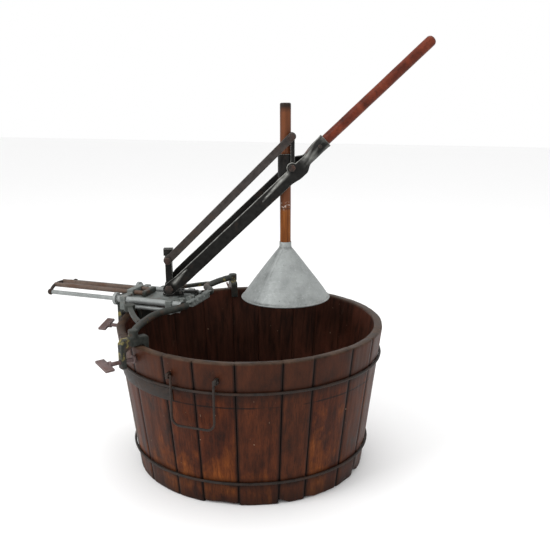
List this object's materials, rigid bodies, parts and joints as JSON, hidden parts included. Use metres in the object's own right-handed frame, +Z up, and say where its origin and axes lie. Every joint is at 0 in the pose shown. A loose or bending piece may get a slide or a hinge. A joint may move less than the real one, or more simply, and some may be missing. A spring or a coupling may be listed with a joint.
{
  "type": "lever plunger tub",
  "caption": "Open wooden stave tub with wire hoops and bail handles; a clamp-on iron bracket carries a sprung swivelling lever that works a metal bell on a stick.",
  "frame": {"origin": "centre of the tub, on the plane of the edge it stands on", "axes": "+Z up; -X towards the clamp-on bracket; the bail handles are on -Y and +Y"},
  "size_m": [0.8786, 0.6776, 0.9479],
  "materials": {
    "stave_wood": "worn old varnish",
    "floor_wood": "dark, water stained",
    "hoop_iron": "rusted iron wire",
    "cast_iron": "worn casting with paint remains",
    "galvanised": "dull galvanised",
    "spring_steel": "oiled spring wire",
    "screw_iron": "rubbed rusty iron",
    "rusty_rod": "brown rust",
    "lever_iron": "blackened, bright worn edges",
    "handle_wood": "red-brown stain",
    "stick_wood": "amber varnish",
    "zinc_sheet": "mottled galvanised sheet"
  },
  "bodies": {
    "tub": {"stave_01": "stave_wood", "stave_02": "stave_wood", "stave_03": "stave_wood", "stave_04": "stave_wood", "stave_05": "stave_wood", "stave_06": "stave_wood", "stave_07": "stave_wood", "stave_08": "stave_wood", "stave_09": "stave_wood", "stave_10": "stave_wood", "stave_11": "stave_wood", "stave_12": "stave_wood", "stave_13": "stave_wood", "stave_14": "stave_wood", "stave_15": "stave_wood", "stave_16": "stave_wood", "stave_17": "stave_wood", "stave_18": "stave_wood", "stave_19": "stave_wood", "stave_20": "stave_wood", "stave_21": "stave_wood", "stave_22": "stave_wood", "bottom_board_1": "floor_wood", "bottom_board_2": "floor_wood", "bottom_board_3": "floor_wood", "hoop_upper": "hoop_iron", "hoop_lower": "hoop_iron", "hoop_strap": "hoop_iron", "bail_eyes": "hoop_iron", "arm_near": "cast_iron", "arm_far": "cast_iron", "rim_stays": "cast_iron", "centre_hook": "cast_iron", "bracket_bed": "cast_iron", "stay_tubes": "galvanised", "spring_tubes": "galvanised", "return_springs": "spring_steel"},
    "bail_front": {"bail_front": "hoop_iron"},
    "bail_rear": {"bail_rear": "hoop_iron"},
    "pad_near": {"clamp_pad_near": "cast_iron"},
    "pad_far": {"clamp_pad_far": "cast_iron"},
    "pad_centre": {"clamp_pad_centre": "cast_iron"},
    "screw_near": {"thumb_screw_near": "screw_iron"},
    "screw_far": {"thumb_screw_far": "screw_iron"},
    "screw_centre": {"thumb_screw_centre": "screw_iron"},
    "yoke": {"spring_yoke": "hoop_iron", "guide_rods": "galvanised", "push_rods": "rusty_rod", "crosshead": "cast_iron"},
    "turret": {"swivel_post": "lever_iron", "post_bolts": "screw_iron"},
    "pawl": {"index_pawl": "lever_iron"},
    "lever": {"lever_channel": "lever_iron", "lever_handle": "handle_wood", "handle_rivets": "screw_iron"},
    "link": {"upper_link": "lever_iron"},
    "carriage": {"plunger_carriage": "lever_iron", "carriage_bolts": "screw_iron"},
    "plunger": {"plunger_stick": "stick_wood", "plunger_bell": "zinc_sheet"}
  },
  "joints": [
    {"name": "turret_swivel", "type": "hinge", "parent": "tub", "child": "turret", "pos_m": [-0.204, 0, 0.373], "axis": [0, 0, 1], "range_deg": [-45, 0]},
    {"name": "lever_swing", "type": "hinge", "parent": "turret", "child": "lever", "pos_m": [-0.204, 0, 0.392], "axis": [0.3827, -0.9239, 0], "range_deg": [-12, 16], "stiffness_Nm_per_rad": 40, "springref_deg": 8.65},
    {"name": "link_swing", "type": "hinge", "parent": "turret", "child": "link", "pos_m": [-0.204, 0, 0.462], "axis": [0.3827, -0.9239, 0], "range_deg": [-12.5, 16.5]},
    {"name": "carriage_pivot", "type": "hinge", "parent": "lever", "child": "carriage", "pos_m": [0.06296, 0.11058, 0.67104], "axis": [0.3827, -0.9239, 0], "range_deg": [-16.5, 12.5]},
    {"name": "plunger_slide", "type": "slide", "parent": "carriage", "child": "plunger", "axis": [0, 0, 1], "range_m": [-0.01, 0.055]},
    {"name": "pawl_lift", "type": "hinge", "parent": "turret", "child": "pawl", "pos_m": [-0.17998, 0.00995, 0.381], "axis": [0.3827, -0.9239, 0], "range_deg": [0, 20]},
    {"name": "yoke_slide", "type": "slide", "parent": "tub", "child": "yoke", "axis": [-1, 0, 0], "range_m": [-0.0175, 0.013], "deforming": ["return_springs"]},
    {"name": "bail_front_swing", "type": "hinge", "parent": "tub", "child": "bail_front", "pos_m": [0, -0.305, 0.295], "axis": [-1, 0, 0], "range_deg": [-3, 150]},
    {"name": "bail_rear_swing", "type": "hinge", "parent": "tub", "child": "bail_rear", "pos_m": [0, 0.305, 0.295], "axis": [1, 0, 0], "range_deg": [-3, 150]},
    {"name": "pad_near_slide", "type": "slide", "parent": "tub", "child": "pad_near", "axis": [-0.5075, -0.8616, 0], "range_m": [0, 0.01]},
    {"name": "screw_near_turn", "type": "hinge", "parent": "pad_near", "child": "screw_near", "pos_m": [-0.15394, -0.26133, 0.304], "axis": [-0.5075, -0.8616, 0], "range_deg": [0, 1440]},
    {"name": "pad_far_slide", "type": "slide", "parent": "tub", "child": "pad_far", "axis": [-0.5075, 0.8616, 0], "range_m": [0, 0.01]},
    {"name": "screw_far_turn", "type": "hinge", "parent": "pad_far", "child": "screw_far", "pos_m": [-0.15394, 0.26133, 0.304], "axis": [-0.5075, 0.8616, 0], "range_deg": [0, 1440]},
    {"name": "pad_centre_slide", "type": "slide", "parent": "tub", "child": "pad_centre", "axis": [-1, 0, 0], "range_m": [0, 0.01]},
    {"name": "screw_centre_turn", "type": "hinge", "parent": "pad_centre", "child": "screw_centre", "pos_m": [-0.3002, 0, 0.28], "axis": [-1, 0, 0], "range_deg": [0, 1440]}
  ],
  "couplings": [
    {"joint": "link_swing", "follows": "lever_swing", "ratio": 1},
    {"joint": "carriage_pivot", "follows": "lever_swing", "ratio": -1},
    {"joint": "yoke_slide", "follows": "lever_swing", "m_per_rad": -0.06},
    {"joint": "pad_near_slide", "follows": "screw_near_turn", "m_per_rad": 0.00039789},
    {"joint": "pad_far_slide", "follows": "screw_far_turn", "m_per_rad": 0.00039789},
    {"joint": "pad_centre_slide", "follows": "screw_centre_turn", "m_per_rad": 0.00039789}
  ]
}
